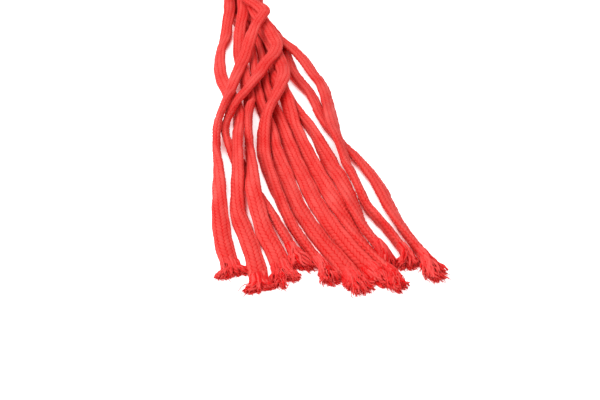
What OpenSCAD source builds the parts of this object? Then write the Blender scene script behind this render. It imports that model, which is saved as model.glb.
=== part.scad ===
// Loose bundle of eleven soft braided cotton cords, lying on a table. A short wrap
// of thinner cord gathers the head. From there the cords cross over one another,
// fan out and end in cut, frayed tips. Each cord is a braided sheath over a core
// of filler yarn, and is flat-oval: in places it lies flat, in others on edge.

/* [Cord] */
// Width of the flat-oval cord
cord_w = 6.8; // [6:0.1:7.6]
// Thickness of the flat-oval cord
cord_t = 3.6; // [3.2:0.1:4.2]
// Wall of the braided sheath
sheath_wall = 0.9; // [0.7:0.05:1]
// Clearance between a sheath and its core
core_gap = 0.35; // [0.25:0.05:0.4]

/* [Lay] */
// Clear gap between cords that lie against each other
lay_gap = 0.4; // [0.3:0.1:1]
// Tightest radius at which a cord rides up over another
hump_r = 25; // [18:1:60]
// Depth of the flat where a cord rests on the table
rest_flat = 0.4; // [0.3:0.05:0.6]

/* [Wrap] */
// Diameter of the cord wound round the neck
wrap_d = 4; // [3:0.1:5]
// Number of turns
wrap_turns = 5; // [3:1:6]
// Clear gap between neighbouring turns
wrap_gap = 0.6; // [0.5:0.1:1]
// Clearance between the turns and the gathered cords
wrap_clear = 0.5; // [0.4:0.1:1]
// Length of the trimmed cord ends past the wrap
butt_l = 10; // [5:1:20]

/* [Frayed tips] */
// Length of the loose yarn past the sheath
fray_l = 9; // [5:0.5:14]
// Width of the spread yarn, as a multiple of the cord's width
fray_spread = 1.15; // [0.8:0.05:1.2]
// Unevenness of the yarn ends
fray_ragged = 2; // [0:0.5:3]

/* [Hidden] */

RED = [0.88, 0.22, 0.2];
PALE_RED = [0.93, 0.34, 0.31];

// Routes, numbered from left to right at the tips. Each point is [y, x, roll]:
// the place in plan, and how far the flat cord is turned towards its edge.
ROUTES = [
    [[190, -44, 0], [118, -44, 0], [98, -43.8, 0], [82, -43.2, 0], [73, -41.6, 0], [66, -37.8, 0],
     [61, -33.8, 5], [57, -31.4, 10], [53, -30.4, 10], [48, -31.4, 15], [38, -34.8, 15], [26, -38, 10],
     [13, -41.5, 10], [0, -43, 20], [-15, -44.4, 35], [-30, -45.8, 55], [-48, -48.2, 75],
     [-68, -47.5, 90], [-84, -45.5, 60], [-98, -44.2, 38], [-120, -42, 0], [-140, -38.7, 0],
     [-152, -35.5, 0]],
    [[190, -53, 0], [118, -53, 0], [100, -52.6, 0], [82, -51.6, 0], [68, -52.2, 15], [54, -52.8, 25],
     [42, -53.6, 40], [30, -53.5, 35], [16, -52.3, 30], [3, -50, 30], [-8, -46.6, 30], [-20, -42.9, 30],
     [-35, -39.7, 45], [-50, -38.9, 50], [-68, -38.2, 55], [-90, -36.9, 50], [-106, -36.2, 35],
     [-116, -35.3, 15], [-126, -32.8, 0], [-136, -29.9, 0], [-148, -27.2, 0], [-161, -25, 0]],
    [[190, -49, 0], [118, -49, 0], [98, -46.9, 0], [82, -43.5, 0], [66, -42.8, 10], [52, -44, 20],
     [38, -43.8, 30], [24, -42, 30], [8, -39.5, 30], [-6, -37.3, 35], [-20, -35.3, 40], [-34, -34.6, 65],
     [-50, -34.3, 90], [-62, -33.6, 85], [-76, -32.2, 70], [-92, -30.8, 50], [-106, -29.7, 30],
     [-116, -28, 15], [-130, -24.4, 15], [-142, -20, 10], [-154, -17.2, 0]],
    [[190, -41.5, 0], [118, -41.5, 0], [98, -40.8, 0], [80, -39, 0], [66, -36.6, 0], [54, -33, 10],
     [42, -28.2, 20], [31, -24.6, 20], [23, -23, 10], [14, -24.8, 0], [4, -29.5, 10], [-6, -32.5, 20],
     [-15, -35.4, 30], [-23, -39, 30], [-33, -42.6, 40], [-43, -44.7, 80], [-54, -44.5, 105],
     [-64, -41.5, 135], [-74, -38.3, 160], [-92, -32.7, 165], [-104, -27.7, 140], [-114, -23.5, 110],
     [-130, -17.5, 120], [-145, -12.5, 110]],
    [[190, -45.5, 0], [118, -45.5, 0], [95, -42, 0], [75, -38, 20], [55, -33, 30], [40, -28, 30],
     [28, -24.5, 25], [14, -21.3, 10], [2, -19.6, 0], [-11, -19, 10], [-20, -20.3, 20], [-29, -22.8, 35],
     [-39, -25.3, 38], [-50, -26.9, 38], [-64, -27.2, 38], [-78, -25.5, 50], [-94, -22.2, 66],
     [-108, -18.8, 78], [-122, -15.2, 85], [-138, -9.2, 110], [-153, -1.7, 120]],
    [[190, -54, 75], [118, -54, 75], [95, -51.6, 85], [75, -46.4, 90], [57, -40.3, 90], [43, -37.5, 80],
     [28, -35.8, 75], [12, -34.4, 75], [-4, -33.3, 60], [-16, -31.1, 60], [-28, -28.9, 60],
     [-40, -26.2, 65], [-56, -22.7, 65], [-68, -21.2, 60], [-82, -18.4, 30], [-98, -14.7, 0],
     [-113, -11, 0], [-124, -7, 0], [-134, -3, 0], [-146, 3, 10], [-158, 8, 10]],
    [[190, -49.5, 75], [118, -49.5, 75], [95, -47.2, 85], [75, -42.1, 90], [57, -35.9, 90],
     [43, -32.8, 80], [28, -31, 75], [12, -29.8, 75], [-4, -28, 75], [-18, -25.5, 75], [-32, -22.3, 70],
     [-46, -19.1, 55], [-62, -16, 45], [-78, -12.4, 25], [-92, -8.7, 5], [-106, -5.2, 5],
     [-118, -1.4, 20], [-128, 2.1, 45], [-140, 7.1, 56], [-148, 11.1, 54], [-157, 16, 42]],
    [[190, -45, 75], [118, -45, 75], [95, -42.8, 85], [75, -37.8, 90], [57, -31.5, 90], [43, -28.2, 80],
     [28, -26.4, 75], [12, -25.2, 75], [0, -23.6, 65], [-10, -21.4, 50], [-22, -18, 30], [-35, -15.6, 35],
     [-50, -12.4, 50], [-68, -8.3, 45], [-84, -4, 40], [-98, 0.1, 25], [-112, 3.6, 0], [-126, 7.8, -30],
     [-138, 11.9, -50], [-147, 16.9, -55], [-157, 23, -50]],
    [[190, -40.5, 75], [118, -40.5, 75], [95, -38.4, 85], [75, -33.5, 90], [57, -27.1, 90],
     [43, -23.6, 80], [28, -22, 75], [12, -20.8, 75], [0, -19.8, 80], [-10, -18, 85], [-24, -14.3, 90],
     [-37, -10, 90], [-50, -5.3, 80], [-65, -1.4, 60], [-78, 2, 30], [-92, 5.4, 5], [-106, 8.3, -20],
     [-118, 10.4, -42], [-128, 12.7, -57], [-137, 15.4, -62], [-146, 19.6, -62]],
    [[190, -38, 0], [118, -38, 0], [95, -37.8, 0], [78, -35.8, -5], [64, -31.4, -10], [52, -26.8, -15],
     [40, -20.8, -15], [30, -14.4, -15], [20, -8.1, -15], [10, -3.3, -18], [0, -0.3, -20],
     [-12, 1.5, -25], [-28, 2.6, -25], [-44, 3.3, -25], [-58, 4.2, -35], [-70, 6.2, -50], [-84, 9.2, -60],
     [-98, 12, -75], [-112, 15.4, -75], [-126, 21.2, -70], [-146, 28.8, -65]],
    [[190, -36, 75], [118, -36, 75], [95, -34, 85], [75, -29.2, 90], [57, -22.7, 90], [43, -18.9, 100],
     [30, -16.8, 125], [16, -14.6, 150], [2, -10.2, 155], [-10, -6, 150], [-22, -3.4, 148],
     [-36, -0.8, 145], [-50, 3.3, 140], [-62, 8.1, 140], [-74, 13.8, 142], [-84, 17.9, 152],
     [-96, 21.5, 155], [-110, 24.2, 150], [-122, 26.9, 140], [-136, 31, 122], [-149, 35.3, 110]]];
CORDS = [0:len(ROUTES) - 1];

// Which cord lies over which, from the lowest to the highest cord number:
// one order towards the head, another towards the tips.
HEAD_ORDER = [6, 7, 9, 8, 11, 2, 10, 5, 3, 4, 1];
TAIL_ORDER = [4, 11, 6, 7, 2, 3, 8, 9, 5, 10, 1];
order_change_y = -52;

// The wrap's place, and the stretch over which the cords rise from the table into it
wrap_y = 131;
wrap_r = wrap_d / 2;
wrap_pitch = wrap_d + wrap_gap;
wrap_rest_flat = wrap_d / 10;
neck_lift = wrap_d - wrap_rest_flat + wrap_clear;
rise_from_y = 100;
rise_to_y = 126;
butts_y = wrap_y + wrap_turns * wrap_pitch + wrap_r + butt_l;
butt_step = 1;

// Sections are taken at stations across the bundle, this far apart
station_step = 10;
lowest_y = min([for (k = CORDS) tip_y(k)]) - fray_l;
last_station = ceil((butts_y - lowest_y) / station_step) + 1;
STATIONS = [0:last_station];

// Sides of a sheath and of a core, each turned so that a side lies flat underneath
SHEATH_SIDES = 8;
SHEATH_TURN = 180 / SHEATH_SIDES;
CORE_SIDES = 6;
CORE_TURN = 180 / CORE_SIDES;
// Makes the eight-sided section as large as the oval on average
side_fit = 1.05;
hem_flare = 1.06;
core_recess = 0.5;
settle_passes = 8;
// Stations to each side over which a cord eases down from a hump
ease_reach = 3;
// Cords further apart than this in plan can't touch
touch_reach = 2 * cord_w;
// Directions in which two sections are tried for touching
TRY = [1, 4, 9, 16, 25, 36, 49, 63, 77, 90, 103, 117, 131, 144, 155, 164, 171, 176, 179];

function station_y(s) = butts_y - s * station_step;
function tip_y(k) = ROUTES[k][len(ROUTES[k]) - 1][0];
function butt_y(k) = butts_y - butt_step * ((k * 5) % 4);
function smooth(t) = let (u = min(max(t, 0), 1)) u * u * (3 - 2 * u);

// Smooth curve through the points of a route
function span(r, y, i = 0) = i >= len(r) - 2 || y >= r[i + 1][0] ? i : span(r, y, i + 1);
function chord(r, i) = (r[i + 1][1] - r[i][1]) / (r[i + 1][0] - r[i][0]);
function lean(r, i) =
    i == 0 ? chord(r, 0) :
    i == len(r) - 1 ? chord(r, i - 1) :
    let (a = r[i - 1][0] - r[i][0], b = r[i][0] - r[i + 1][0])
    (chord(r, i - 1) * b + chord(r, i) * a) / (a + b);
function route_x(r, y) =
    let (i = span(r, y), h = r[i + 1][0] - r[i][0], t = (y - r[i][0]) / h)
    y < r[len(r) - 1][0] ? r[len(r) - 1][1] + lean(r, len(r) - 1) * (y - r[len(r) - 1][0]) :
    r[i][1] * (2 * t ^ 3 - 3 * t ^ 2 + 1) + lean(r, i) * h * (t ^ 3 - 2 * t ^ 2 + t)
    + r[i + 1][1] * (3 * t ^ 2 - 2 * t ^ 3) + lean(r, i + 1) * h * (t ^ 3 - t ^ 2);
function route_lean(r, y) = (route_x(r, y + 1) - route_x(r, y - 1)) / 2;
function route_roll(r, y) =
    let (i = span(r, y), t = min((y - r[i][0]) / (r[i + 1][0] - r[i][0]), 1))
    r[i][2] + (r[i + 1][2] - r[i][2]) * t;

// A slice across the bundle cuts a slanting cord a little wider than the cord is
function stretch(k, y) = sqrt(1 + route_lean(ROUTES[k], y) ^ 2);

// How far the sliced oval reaches from its middle in a direction, and the point there
function reach(roll, wide, t) =
    let (c = cos(t) * wide, s = sin(t))
    norm([cord_w / 2 * (c * cos(roll) + s * sin(roll)), cord_t / 2 * (s * cos(roll) - c * sin(roll))]);
function reach_point(roll, t) =
    let (u = (cord_w / 2) ^ 2 * cos(t - roll), v = (cord_t / 2) ^ 2 * sin(t - roll))
    [u * cos(roll) - v * sin(roll), u * sin(roll) + v * cos(roll)] / reach(roll, 1, t);

// Slices of every cord at every station: [x, roll, stretch, lowest height, lean]
function table_height(y) =
    -rest_flat + (neck_lift + rest_flat) * smooth((y - rise_from_y) / (rise_to_y - rise_from_y));
SLICES = [for (k = CORDS) [for (s = STATIONS)
    let (r = ROUTES[k], y = max(station_y(s), tip_y(k) - fray_l),
         roll = route_roll(r, y), wide = stretch(k, y))
    [route_x(r, y), roll, wide, table_height(y) + reach(roll, wide, 90), route_lean(r, y)]]];

// Least height of cord k over cord j, both sliced at station s. Cords that cross at a
// slant get a little more room, because they run straight from station to station.
function rise(k, j, s) =
    let (a = SLICES[k][s], b = SLICES[j][s],
         gap = lay_gap + ((a[4] - b[4]) * station_step) ^ 2 / (8 * cord_w))
    min([for (t = TRY)
        (reach(a[1], a[2], t) + reach(b[1], b[2], t) + gap - (a[0] - b[0]) * cos(t)) / sin(t)]);
function rank(k, y) = search(k + 1, y > order_change_y ? HEAD_ORDER : TAIL_ORDER)[0];
function present(j, y) = y > tip_y(j) - fray_l;
CARRIERS = [for (k = CORDS) [for (s = STATIONS)
    [for (j = CORDS)
        let (y = station_y(s))
        if (j != k && rank(j, y) < rank(k, y) && present(j, y) && present(k, y)
            && abs(SLICES[k][s][0] - SLICES[j][s][0]) < touch_reach)
        [j, rise(k, j, s)]]]];

// Heights of the middles: each cord is carried by the table or by the cords under it,
// and bends over them no tighter than the hump radius
function carried(z, k) = [for (s = STATIONS)
    max([SLICES[k][s][3], for (c = CARRIERS[k][s]) z[c[0]][s] + c[1]])];
function eased(h) = [for (s = STATIONS)
    max([for (t = [max(0, s - ease_reach):min(last_station, s + ease_reach)])
        h[t] - ((s - t) * station_step) ^ 2 / (2 * hump_r)])];
function settle(z, n) = n == 0 ? z : settle([for (k = CORDS) eased(carried(z, k))], n - 1);
HEIGHTS = settle([for (k = CORDS) [for (s = STATIONS) SLICES[k][s][3]]], settle_passes);
function height(k, y) =
    let (f = min(max((butts_y - y) / station_step, 0), last_station - 0.001), s = floor(f))
    HEIGHTS[k][s] + (HEIGHTS[k][s + 1] - HEIGHTS[k][s]) * (f - s);

// One ring of points round a cord's middle, inset from its surface and cut flat at the table
function ring(k, y, sides, turn, inset, grow, floor_z) =
    let (r = ROUTES[k], roll = route_roll(r, y), wide = stretch(k, y), x = route_x(r, y), z = height(k, y))
    [for (i = [0:sides - 1])
        let (t = turn + i * 360 / sides,
             u = (cord_w / 2 - inset) * grow * cos(t),
             v = (cord_t / 2 - inset) * grow * sin(t))
        [x + wide * (u * cos(roll) - v * sin(roll)), y, max(z + u * sin(roll) + v * cos(roll), floor_z)]];
least_step = station_step / 3;
function ring_ys(k, from) = concat([from],
    [for (s = STATIONS)
        let (y = station_y(s))
        if (y < from - least_step && y > tip_y(k) + least_step) y],
    [tip_y(k)]);

// Triangles between neighbouring rings, and over an end
function skin(rings, n, at, out) = [for (r = [0:rings - 2]) for (i = [0:n - 1])
    let (a = at + r * n + i, b = at + r * n + (i + 1) % n)
    each out ? [[a, a + n, b], [b, a + n, b + n]] : [[a, b, a + n], [b, b + n, a + n]]];
function lid(n, at, middle, first) = [for (i = [0:n - 1])
    first ? [middle, at + i, at + (i + 1) % n] : [middle, at + (i + 1) % n, at + i]];
function rim(n, outer, inner, first) = [for (i = [0:n - 1])
    let (a = outer + i, b = outer + (i + 1) % n, c = inner + i, d = inner + (i + 1) % n)
    each first ? [[a, b, c], [b, d, c]] : [[a, c, b], [b, c, d]]];
function middle(points) = [for (a = [0:2]) [for (p = points) p[a]] * [for (p = points) 1]] / len(points);

function sheath_rings(k) = let (ys = ring_ys(k, butt_y(k))) [for (i = [0:len(ys) - 1])
    ring(k, ys[i], SHEATH_SIDES, SHEATH_TURN, 0, side_fit * (i == len(ys) - 1 ? hem_flare : 1), 0)];
function bore_rings(k) = [for (y = ring_ys(k, butt_y(k)))
    ring(k, y, SHEATH_SIDES, SHEATH_TURN, sheath_wall, 1, 0)];

// The core's yarn leaves the sheath, spreads and ends unevenly. Each ring of the tuft is
// [share of the fray's length, share of its spread, share of its unevenness].
FRAY = [[0.3, 0.85, 0], [0.65, 1, 0], [0.95, 1, 1]];
yarn_lift = rest_flat / 4;
function uneven(x) = sin(x * 97);
function tuft_ring(k, f) =
    [for (p = ring(k, tip_y(k) - fray_l * f[0], CORE_SIDES, CORE_TURN, 0, f[1] * fray_spread, yarn_lift))
        p - [0, f[2] * fray_ragged * uneven(p[0]) / 2, 0]];
function core_rings(k) = concat(
    [for (y = ring_ys(k, butt_y(k) - core_recess))
        ring(k, y, CORE_SIDES, CORE_TURN, sheath_wall + core_gap, 1, 0)],
    [for (f = FRAY) tuft_ring(k, f)]);

// The wrap follows the outline of the gathered cords, one turn after another
neck_y = wrap_y + wrap_turns * wrap_pitch / 2;
function neck_slice(k) = [route_x(ROUTES[k], neck_y), height(k, neck_y), route_roll(ROUTES[k], neck_y)];
NECK = [for (k = CORDS) neck_slice(k)];
function outline_point(t) =
    let (far = [for (c = NECK) c[0] * cos(t) + c[1] * sin(t) + reach(c[2], 1, t)],
         c = NECK[search(max(far), far)[0]])
    [c[0], c[1]] + reach_point(c[2], t) + (wrap_clear + wrap_r) * [cos(t), sin(t)];
WRAP_STEPS = 24;
function wrap_point(i) = let (p = outline_point(90 + i * 360 / WRAP_STEPS))
    [p[0], wrap_y + i * wrap_pitch / WRAP_STEPS, p[1]];
wrap_last = wrap_turns * WRAP_STEPS;
function wrap_ring(p, t) = [for (i = [0:CORE_SIDES - 1])
    let (a = CORE_TURN + i * 360 / CORE_SIDES, q = p + wrap_r * [cos(a) * cos(t), sin(a), cos(a) * sin(t)])
    [q[0], q[1], max(q[2], 0)]];
WRAP_LINE = [for (i = [0:wrap_last]) wrap_point(i)];
WRAP_RINGS = concat(
    [wrap_ring(WRAP_LINE[0] + [wrap_d, 0, 0], 90)],
    [for (i = [0:wrap_last]) wrap_ring(WRAP_LINE[i], 90 + i * 360 / WRAP_STEPS)],
    [wrap_ring(WRAP_LINE[wrap_last] - [wrap_d, 0, 0], 90)]);
wrap_self_gap = min([for (i = [0:wrap_last]) for (j = [i + WRAP_STEPS / 2:1:wrap_last])
    norm(WRAP_LINE[i] - WRAP_LINE[j])]) - wrap_d;
echo(wrap_self_gap = wrap_self_gap);

// The middle of the whole bundle, which becomes the origin
ALL_POINTS = concat([for (k = CORDS) for (r = sheath_rings(k)) each r],
    [for (k = CORDS) for (f = FRAY) each tuft_ring(k, f)], [for (r = WRAP_RINGS) each r]);
function mid(a) = let (v = [for (p = ALL_POINTS) p[a]]) (min(v) + max(v)) / 2;
centre = [mid(0), mid(1), 0];
echo(centre = centre);

module loft(rings, n) {
    points = concat([for (r = rings) each r], [middle(rings[0]), middle(rings[len(rings) - 1])]);
    last = (len(rings) - 1) * n;
    translate(-centre)
        polyhedron(points, concat(skin(len(rings), n, 0, true),
            lid(n, 0, len(points) - 2, true), lid(n, last, len(points) - 1, false)));
}

module sheath(k) {
    outer = sheath_rings(k);
    bore = bore_rings(k);
    n = SHEATH_SIDES;
    inner = len(outer) * n;
    last = (len(outer) - 1) * n;
    color(RED)
        translate(-centre)
            polyhedron([for (r = concat(outer, bore)) each r],
                concat(skin(len(outer), n, 0, true), skin(len(bore), n, inner, false),
                    rim(n, 0, inner, true), rim(n, last, inner + last, false)));
}

module core(k) {
    color(PALE_RED)
        loft(core_rings(k), CORE_SIDES);
}

module gathering_wrap() {
    color(RED)
        loft(WRAP_RINGS, CORE_SIDES);
}

gathering_wrap();
sheath(0);  // sheath_01
sheath(1);  // sheath_02
sheath(2);  // sheath_03
sheath(3);  // sheath_04
sheath(4);  // sheath_05
sheath(5);  // sheath_06
sheath(6);  // sheath_07
sheath(7);  // sheath_08
sheath(8);  // sheath_09
sheath(9);  // sheath_10
sheath(10);  // sheath_11
core(0);  // core_01
core(1);  // core_02
core(2);  // core_03
core(3);  // core_04
core(4);  // core_05
core(5);  // core_06
core(6);  // core_07
core(7);  // core_08
core(8);  // core_09
core(9);  // core_10
core(10);  // core_11
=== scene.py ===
import bpy
import numpy as np
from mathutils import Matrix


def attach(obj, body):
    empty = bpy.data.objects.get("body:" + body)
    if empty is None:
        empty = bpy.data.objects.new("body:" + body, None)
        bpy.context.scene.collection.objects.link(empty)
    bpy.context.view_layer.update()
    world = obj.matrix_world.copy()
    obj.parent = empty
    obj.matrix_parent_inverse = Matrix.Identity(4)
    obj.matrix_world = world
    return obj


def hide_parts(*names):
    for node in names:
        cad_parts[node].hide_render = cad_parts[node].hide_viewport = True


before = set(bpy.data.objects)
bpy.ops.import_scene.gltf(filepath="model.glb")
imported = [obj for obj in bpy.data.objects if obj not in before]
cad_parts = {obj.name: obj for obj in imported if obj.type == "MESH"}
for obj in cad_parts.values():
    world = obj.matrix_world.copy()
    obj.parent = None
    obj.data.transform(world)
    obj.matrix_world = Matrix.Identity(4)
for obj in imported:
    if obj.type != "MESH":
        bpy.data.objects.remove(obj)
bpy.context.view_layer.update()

# Camera. It stands in front of the fanned tips and looks down along the bundle
# from 33 degrees above the table, through a 54 mm lens.
LOOK_DOWN = 33
camera = bpy.data.objects.new("camera", bpy.data.cameras.new("camera"))
camera.data.lens = 54
camera.data.sensor_width = 36
camera.data.clip_start = 0.01
camera.location = (-0.0007, -0.4085, 0.199)
camera.rotation_euler = (np.radians(90 - LOOK_DOWN), 0, 0)
bpy.context.collection.objects.link(camera)
bpy.context.scene.camera = camera

# Lay of the cords. Soft flat-oval cords of cotton, gathered at the head and left as they fell:
# each follows its route in plan, turns on edge where its neighbours press it,
# and rests on the table or on the cords under it.
CORD_WIDTH = 0.0068
CORD_THICKNESS = 0.0036
LAY_GAP = 0.00025
HUMP_RADIUS = 0.025
REST_FLAT = 0.0004
# Points of each route, from the head to the tip: (y, x, roll in degrees)
ROUTES = [
    [(0.19, -0.044, 0), (0.118, -0.044, 0), (0.098, -0.0438, 0), (0.082, -0.0432, 0),
     (0.073, -0.0416, 0), (0.066, -0.0378, 0), (0.061, -0.0338, 5), (0.057, -0.0314, 10),
     (0.053, -0.0304, 10), (0.048, -0.0314, 15), (0.038, -0.0348, 15), (0.026, -0.038, 10),
     (0.013, -0.0415, 10), (0.0, -0.043, 20), (-0.015, -0.0444, 35), (-0.03, -0.0458, 55),
     (-0.048, -0.0482, 75), (-0.068, -0.0475, 90), (-0.084, -0.0455, 60), (-0.098, -0.0442, 38),
     (-0.12, -0.042, 0), (-0.14, -0.0387, 0), (-0.152, -0.0355, 0)],
    [(0.19, -0.053, 0), (0.118, -0.053, 0), (0.1, -0.0526, 0), (0.082, -0.0516, 0),
     (0.068, -0.0522, 15), (0.054, -0.0528, 25), (0.042, -0.0536, 40), (0.03, -0.0535, 35),
     (0.016, -0.0523, 30), (0.003, -0.05, 30), (-0.008, -0.0466, 30), (-0.02, -0.0429, 30),
     (-0.035, -0.0397, 45), (-0.05, -0.0389, 50), (-0.068, -0.0382, 55), (-0.09, -0.0369, 50),
     (-0.106, -0.0362, 35), (-0.116, -0.0353, 15), (-0.126, -0.0328, 0), (-0.136, -0.0299, 0),
     (-0.148, -0.0272, 0), (-0.161, -0.025, 0)],
    [(0.19, -0.049, 0), (0.118, -0.049, 0), (0.098, -0.0469, 0), (0.082, -0.0435, 0),
     (0.066, -0.0428, 10), (0.052, -0.044, 20), (0.038, -0.0438, 30), (0.024, -0.042, 30),
     (0.008, -0.0395, 30), (-0.006, -0.0373, 35), (-0.02, -0.0353, 40), (-0.034, -0.0346, 65),
     (-0.05, -0.0343, 90), (-0.062, -0.0336, 85), (-0.076, -0.0322, 70), (-0.092, -0.0308, 50),
     (-0.106, -0.0297, 30), (-0.116, -0.028, 15), (-0.13, -0.0244, 15), (-0.142, -0.02, 10),
     (-0.154, -0.0172, 0)],
    [(0.19, -0.0415, 0), (0.118, -0.0415, 0), (0.098, -0.0408, 0), (0.08, -0.039, 0),
     (0.066, -0.0366, 0), (0.054, -0.033, 10), (0.042, -0.0282, 20), (0.031, -0.0246, 20),
     (0.023, -0.023, 10), (0.014, -0.0248, 0), (0.004, -0.0295, 10), (-0.006, -0.0325, 20),
     (-0.015, -0.0354, 30), (-0.023, -0.039, 30), (-0.033, -0.0426, 40), (-0.043, -0.0447, 80),
     (-0.054, -0.0445, 105), (-0.064, -0.0415, 135), (-0.074, -0.0383, 160), (-0.092, -0.0327, 165),
     (-0.104, -0.0277, 140), (-0.114, -0.0235, 110), (-0.13, -0.0175, 120), (-0.145, -0.0125, 110)],
    [(0.19, -0.0455, 0), (0.118, -0.0455, 0), (0.095, -0.042, 0), (0.075, -0.038, 20),
     (0.055, -0.033, 30), (0.04, -0.028, 30), (0.028, -0.0245, 25), (0.014, -0.0213, 10),
     (0.002, -0.0196, 0), (-0.011, -0.019, 10), (-0.02, -0.0203, 20), (-0.029, -0.0228, 35),
     (-0.039, -0.0253, 38), (-0.05, -0.0269, 38), (-0.064, -0.0272, 38), (-0.078, -0.0255, 50),
     (-0.094, -0.0222, 66), (-0.108, -0.0188, 78), (-0.122, -0.0152, 85), (-0.138, -0.0092, 110),
     (-0.153, -0.0017, 120)],
    [(0.19, -0.054, 75), (0.118, -0.054, 75), (0.095, -0.0516, 85), (0.075, -0.0464, 90),
     (0.057, -0.0403, 90), (0.043, -0.0375, 80), (0.028, -0.0358, 75), (0.012, -0.0344, 75),
     (-0.004, -0.0333, 60), (-0.016, -0.0311, 60), (-0.028, -0.0289, 60), (-0.04, -0.0262, 65),
     (-0.056, -0.0227, 65), (-0.068, -0.0212, 60), (-0.082, -0.0184, 30), (-0.098, -0.0147, 0),
     (-0.113, -0.011, 0), (-0.124, -0.007, 0), (-0.134, -0.003, 0), (-0.146, 0.003, 10),
     (-0.158, 0.008, 10)],
    [(0.19, -0.0495, 75), (0.118, -0.0495, 75), (0.095, -0.0472, 85), (0.075, -0.0421, 90),
     (0.057, -0.0359, 90), (0.043, -0.0328, 80), (0.028, -0.031, 75), (0.012, -0.0298, 75),
     (-0.004, -0.028, 75), (-0.018, -0.0255, 75), (-0.032, -0.0223, 70), (-0.046, -0.0191, 55),
     (-0.062, -0.016, 45), (-0.078, -0.0124, 25), (-0.092, -0.0087, 5), (-0.106, -0.0052, 5),
     (-0.118, -0.0014, 20), (-0.128, 0.0021, 45), (-0.14, 0.0071, 56), (-0.148, 0.0111, 54),
     (-0.157, 0.016, 42)],
    [(0.19, -0.045, 75), (0.118, -0.045, 75), (0.095, -0.0428, 85), (0.075, -0.0378, 90),
     (0.057, -0.0315, 90), (0.043, -0.0282, 80), (0.028, -0.0264, 75), (0.012, -0.0252, 75),
     (0.0, -0.0236, 65), (-0.01, -0.0214, 50), (-0.022, -0.018, 30), (-0.035, -0.0156, 35),
     (-0.05, -0.0124, 50), (-0.068, -0.0083, 45), (-0.084, -0.004, 40), (-0.098, 0.0001, 25),
     (-0.112, 0.0036, 0), (-0.126, 0.0078, -30), (-0.138, 0.0119, -50), (-0.147, 0.0169, -55),
     (-0.157, 0.023, -50)],
    [(0.19, -0.0405, 75), (0.118, -0.0405, 75), (0.095, -0.0384, 85), (0.075, -0.0335, 90),
     (0.057, -0.0271, 90), (0.043, -0.0236, 80), (0.028, -0.022, 75), (0.012, -0.0208, 75),
     (0.0, -0.0198, 80), (-0.01, -0.018, 85), (-0.024, -0.0143, 90), (-0.037, -0.01, 90),
     (-0.05, -0.0053, 80), (-0.065, -0.0014, 60), (-0.078, 0.002, 30), (-0.092, 0.0054, 5),
     (-0.106, 0.0083, -20), (-0.118, 0.0104, -42), (-0.128, 0.0127, -57), (-0.137, 0.0154, -62),
     (-0.146, 0.0196, -62)],
    [(0.19, -0.038, 0), (0.118, -0.038, 0), (0.095, -0.0378, 0), (0.078, -0.0358, -5),
     (0.064, -0.0314, -10), (0.052, -0.0268, -15), (0.04, -0.0208, -15), (0.03, -0.0144, -15),
     (0.02, -0.0081, -15), (0.01, -0.0033, -18), (0.0, -0.0003, -20), (-0.012, 0.0015, -25),
     (-0.028, 0.0026, -25), (-0.044, 0.0033, -25), (-0.058, 0.0042, -35), (-0.07, 0.0062, -50),
     (-0.084, 0.0092, -60), (-0.098, 0.012, -75), (-0.112, 0.0154, -75), (-0.126, 0.0212, -70),
     (-0.146, 0.0288, -65)],
    [(0.19, -0.036, 75), (0.118, -0.036, 75), (0.095, -0.034, 85), (0.075, -0.0292, 90),
     (0.057, -0.0227, 90), (0.043, -0.0189, 100), (0.03, -0.0168, 125), (0.016, -0.0146, 150),
     (0.002, -0.0102, 155), (-0.01, -0.006, 150), (-0.022, -0.0034, 148), (-0.036, -0.0008, 145),
     (-0.05, 0.0033, 140), (-0.062, 0.0081, 140), (-0.074, 0.0138, 142), (-0.084, 0.0179, 152),
     (-0.096, 0.0215, 155), (-0.11, 0.0242, 150), (-0.122, 0.0269, 140), (-0.136, 0.031, 122),
     (-0.149, 0.0353, 110)],
]
# Which cord lies over which, from the lowest up, on the head's side of ORDER_CHANGE_Y and towards the tips
HEAD_ORDER = [6, 7, 9, 8, 11, 2, 10, 5, 3, 4, 1]
TAIL_ORDER = [4, 11, 6, 7, 2, 3, 8, 9, 5, 10, 1]
ORDER_CHANGE_Y = -0.052
# The neck rises off the table by this much, to pass over the wrap's lower side
NECK_LIFT = 0.0041
RISE_FROM_Y, RISE_TO_Y = 0.100, 0.126
# The butts are trimmed by hand, up to three steps apart
HEAD_Y = 0.166
BUTT_STEP = 0.001
FRAY_LENGTH = 0.009
# The routes' origin, seen from the middle of the bundle
ROUTE_ORIGIN = np.array([0.010326, 0.001537, 0.0])
# The cords are laid in slices across the bundle, which run on past both of its ends
STEP = 0.001
SPARE = 0.012
# Directions, in degrees, in which two sliced cords are tried for touching
TOUCH_ANGLES = [1, 4, 9, 16, 25, 36, 49, 63, 77, 90, 103, 117, 131, 144, 155, 164, 171, 176, 179]
# Slices to each side over which a hump spreads, and over which heights are eased
HUMP_SLICES = 30
EASE_SLICES = 6

count = len(ROUTES)
tip_y = np.array([route[-1][0] for route in ROUTES])
butt_y = np.array([HEAD_Y - BUTT_STEP * ((k * 5) % 4) for k in range(count)])
slice_y = np.arange(HEAD_Y + SPARE, tip_y.min() - SPARE, -STEP)


def smooth(t):
    """Goes from 0 to 1 with no corner at either end."""
    t = np.clip(t, 0, 1)
    return t * t * (3 - 2 * t)


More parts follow.
